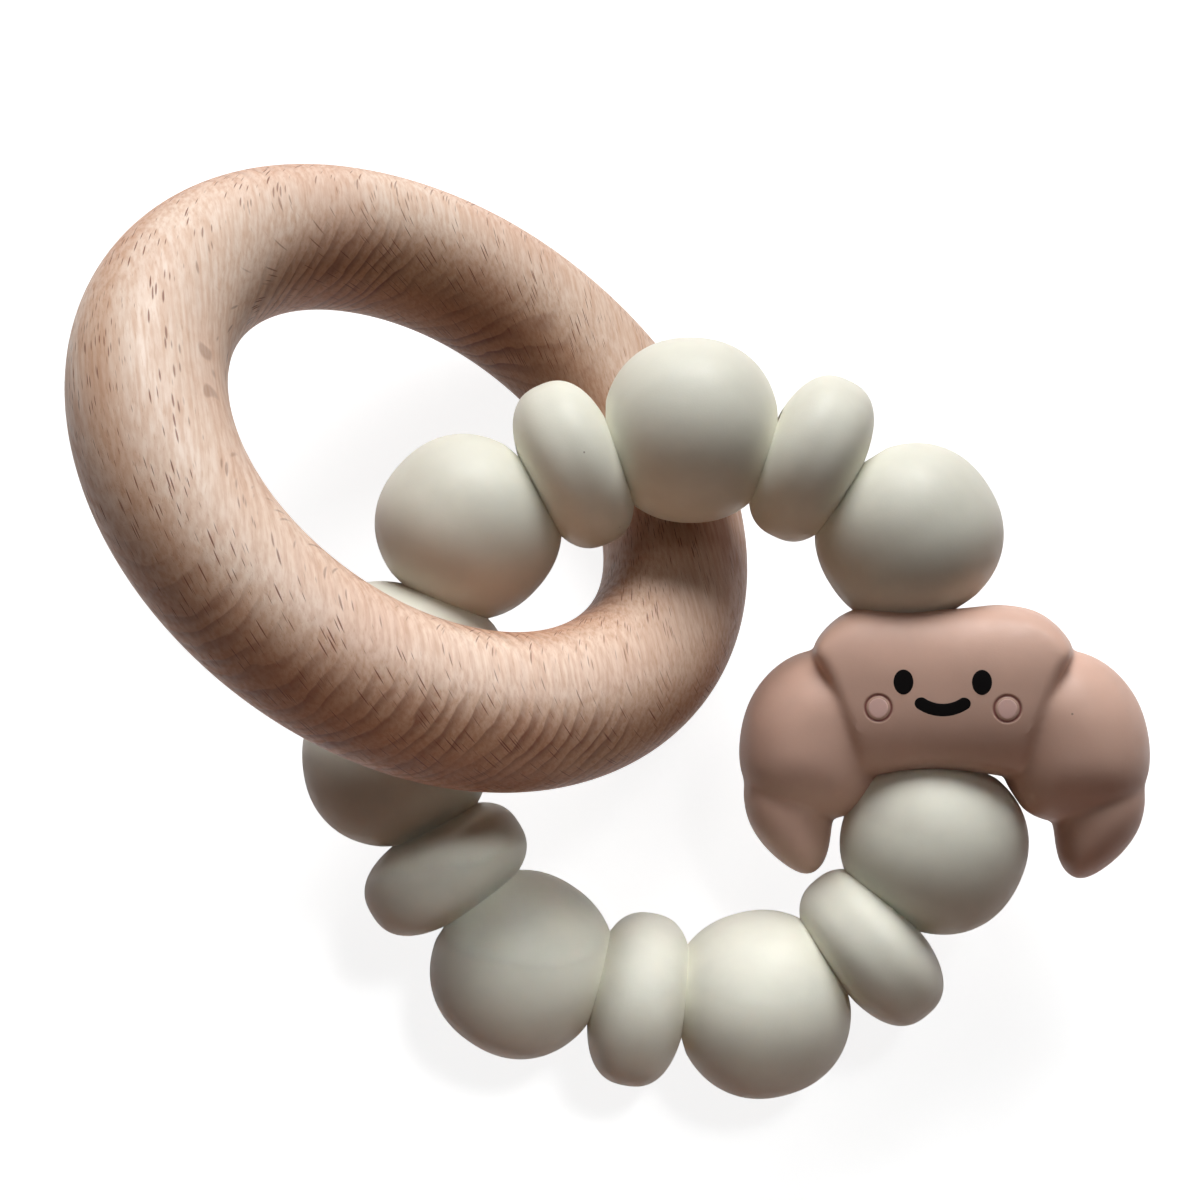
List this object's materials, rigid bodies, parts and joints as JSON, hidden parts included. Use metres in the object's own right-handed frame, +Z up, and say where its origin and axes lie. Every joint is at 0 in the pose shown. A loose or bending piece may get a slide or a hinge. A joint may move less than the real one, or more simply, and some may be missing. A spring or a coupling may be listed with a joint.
{
  "type": "teether",
  "caption": "Teether: a loop of soft round and lentil beads and a croissant bead with a plain smiling face, threaded on a cord through a plain wooden ring.",
  "frame": {"origin": "on the table that it lies on, under the middle of its whole box", "axes": "+Z up from the table; the croissant's face looks up and towards -Y, with its right side towards +X"},
  "size_m": [0.0868, 0.0714, 0.0379],
  "materials": {
    "beech": "bare sanded beech, satin",
    "cord": "waxed nylon cord",
    "silicone_bone": "matte silicone",
    "silicone_pink": "matte silicone",
    "silicone_black": "satin silicone",
    "silicone_cheek": "matte silicone"
  },
  "bodies": {
    "cord": {"cord": "cord", "cord_knot": "cord"},
    "wooden_ring": {"wooden_ring": "beech"},
    "croissant": {"croissant": "silicone_pink", "left_eye": "silicone_black", "right_eye": "silicone_black", "mouth": "silicone_black", "left_cheek": "silicone_cheek", "right_cheek": "silicone_cheek"},
    "round_bead_1": {"round_bead_1": "silicone_bone"},
    "round_bead_2": {"round_bead_2": "silicone_bone"},
    "round_bead_3": {"round_bead_3": "silicone_bone"},
    "round_bead_4": {"round_bead_4": "silicone_bone"},
    "round_bead_5": {"round_bead_5": "silicone_bone"},
    "round_bead_6": {"round_bead_6": "silicone_bone"},
    "round_bead_7": {"round_bead_7": "silicone_bone"},
    "lentil_bead_1": {"lentil_bead_1": "silicone_bone"},
    "lentil_bead_2": {"lentil_bead_2": "silicone_bone"},
    "lentil_bead_3": {"lentil_bead_3": "silicone_bone"},
    "lentil_bead_4": {"lentil_bead_4": "silicone_bone"},
    "lentil_bead_5": {"lentil_bead_5": "silicone_bone"},
    "lentil_bead_6": {"lentil_bead_6": "silicone_bone"}
  },
  "joints": [
    {"name": "ring_tip", "type": "hinge", "parent": "cord", "child": "wooden_ring", "pos_m": [-0.01618, 0.00826, 0.01894], "axis": [-0.8426, 0.5102, 0.1725], "range_deg": [0, 78]},
    {"name": "croissant_turn", "type": "hinge", "parent": "cord", "child": "croissant", "pos_m": [0.02705, -0.00242, 0.01586], "axis": [-0.1642, 0.9345, 0.3159], "continuous": true},
    {"name": "round_bead_1_turn", "type": "hinge", "parent": "cord", "child": "round_bead_1", "pos_m": [0.00411, 0.01367, 0.0213], "axis": [-0.9893, -0.1381, -0.0467], "continuous": true},
    {"name": "round_bead_2_turn", "type": "hinge", "parent": "cord", "child": "round_bead_2", "pos_m": [0.02245, 0.00864, 0.0196], "axis": [-0.6647, 0.7078, 0.2393], "continuous": true},
    {"name": "round_bead_3_turn", "type": "hinge", "parent": "cord", "child": "round_bead_3", "pos_m": [0.02838, -0.01375, 0.01203], "axis": [0.2716, 0.9117, 0.3082], "continuous": true},
    {"name": "round_bead_4_turn", "type": "hinge", "parent": "cord", "child": "round_bead_4", "pos_m": [0.01701, -0.02773, 0.0073], "axis": [0.9098, 0.3931, 0.1329], "continuous": true},
    {"name": "round_bead_5_turn", "type": "hinge", "parent": "cord", "child": "round_bead_5", "pos_m": [-0.00209, -0.02773, 0.0073], "axis": [0.9098, -0.3931, -0.1329], "continuous": true},
    {"name": "round_bead_6_turn", "type": "hinge", "parent": "cord", "child": "round_bead_6", "pos_m": [-0.01461, -0.01407, 0.01192], "axis": [0.2832, -0.9086, -0.3072], "continuous": true},
    {"name": "round_bead_7_turn", "type": "hinge", "parent": "cord", "child": "round_bead_7", "pos_m": [-0.01193, 0.00384, 0.01798], "axis": [-0.5385, -0.7982, -0.2699], "continuous": true},
    {"name": "lentil_bead_1_turn", "type": "hinge", "parent": "cord", "child": "lentil_bead_1", "pos_m": [0.01387, 0.01307, 0.02109], "axis": [-0.9606, 0.2633, 0.089], "continuous": true},
    {"name": "lentil_bead_2_turn", "type": "hinge", "parent": "cord", "child": "lentil_bead_2", "pos_m": [0.02486, -0.02221, 0.00917], "axis": [0.6556, 0.7153, 0.2418], "continuous": true},
    {"name": "lentil_bead_3_turn", "type": "hinge", "parent": "cord", "child": "lentil_bead_3", "pos_m": [0.00746, -0.02887, 0.00692], "axis": [1, 0, 0], "continuous": true},
    {"name": "lentil_bead_4_turn", "type": "hinge", "parent": "cord", "child": "lentil_bead_4", "pos_m": [-0.00925, -0.02165, 0.00936], "axis": [0.6556, -0.7153, -0.2418], "continuous": true},
    {"name": "lentil_bead_5_turn", "type": "hinge", "parent": "cord", "child": "lentil_bead_5", "pos_m": [-0.01446, -0.00495, 0.015], "axis": [-0.1403, -0.938, -0.3171], "continuous": true},
    {"name": "lentil_bead_6_turn", "type": "hinge", "parent": "cord", "child": "lentil_bead_6", "pos_m": [-0.00456, 0.00971, 0.01996], "axis": [-0.8396, -0.5145, -0.1739], "continuous": true}
  ]
}
